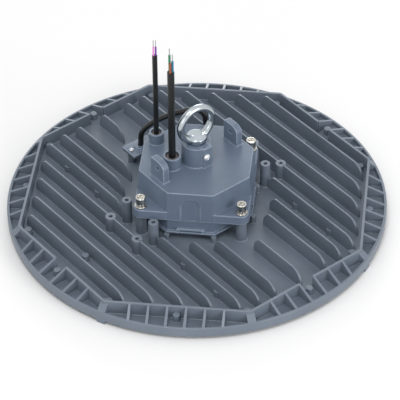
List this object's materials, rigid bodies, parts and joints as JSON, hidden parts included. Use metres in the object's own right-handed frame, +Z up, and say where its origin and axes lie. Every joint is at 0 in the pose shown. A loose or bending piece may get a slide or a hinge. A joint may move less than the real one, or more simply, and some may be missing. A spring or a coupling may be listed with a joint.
{
  "type": "high bay light",
  "caption": "Round high bay light: finned die-cast heat sink, octagonal driver box with a hanging eye, two stripped cable ends on top and a lens plate underneath.",
  "frame": {"origin": "centre of the light on the plane of the four feet under the rim", "axes": "+Z up along the light's axis towards the hanging eye, +X along the cooling fins towards the eye's locking screw, +Y across the fins"},
  "size_m": [0.4, 0.4, 0.2185],
  "materials": {
    "casting_coat": "fine-grained slate powder coat",
    "bright_steel": "bright nickel plate",
    "chromed_eye": "polished chrome",
    "black_seal": "matt silicone rubber",
    "grey_gasket": "matt silicone rubber",
    "black_jacket": "satin rubber cable jacket",
    "brown_insulation": "satin wire insulation",
    "blue_insulation": "satin wire insulation",
    "green_insulation": "satin wire insulation",
    "pink_insulation": "satin wire insulation",
    "purple_insulation": "satin wire insulation",
    "tinned_strand": "tinned copper strand",
    "clear_lens": "clear moulded polycarbonate",
    "white_board": "white solder mask on aluminium",
    "led_phosphor": "yellow phosphor",
    "green_board": "green circuit board",
    "ferrite": "matt ferrite",
    "yellow_tape": "winding tape",
    "copper_winding": "enamelled copper wire",
    "capacitor_sleeve": "shrink sleeve",
    "terminal_green": "moulded terminal block"
  },
  "bodies": {
    "root": {"heat_sink": "casting_coat", "driver_tray": "casting_coat", "driver_cover": "casting_coat", "lead_gland_plate": "casting_coat", "cover_screws": "bright_steel", "cover_spring_washers": "bright_steel", "cover_flat_washers": "bright_steel", "eye_lock_screw": "bright_steel", "lead_gland_screws": "bright_steel", "led_board_screws": "bright_steel", "lens_screws": "bright_steel", "driver_board_screws": "bright_steel", "eye_bolt": "chromed_eye", "mains_cable_seal": "black_seal", "dimming_cable_seal": "black_seal", "lead_gland_seal": "black_seal", "lead_inlet_seal": "black_seal", "driver_box_gasket": "grey_gasket", "lead_gland_gasket": "grey_gasket", "lens_gasket": "grey_gasket", "mains_cable": "black_jacket", "dimming_cable": "black_jacket", "led_lead": "black_jacket", "brown_core": "brown_insulation", "blue_core": "blue_insulation", "earth_core": "green_insulation", "pink_core": "pink_insulation", "purple_core": "purple_insulation", "mains_conductors": "tinned_strand", "dimming_conductors": "tinned_strand", "lens_plate": "clear_lens", "led_board": "white_board", "led_packages": "led_phosphor", "driver_board": "green_board", "transformer_core": "ferrite", "transformer_coil": "yellow_tape", "bulk_capacitors": "capacitor_sleeve", "line_choke": "copper_winding", "mains_terminal_block": "terminal_green", "dimming_terminal_block": "terminal_green", "output_terminal_block": "terminal_green"}
  },
  "joints": []
}
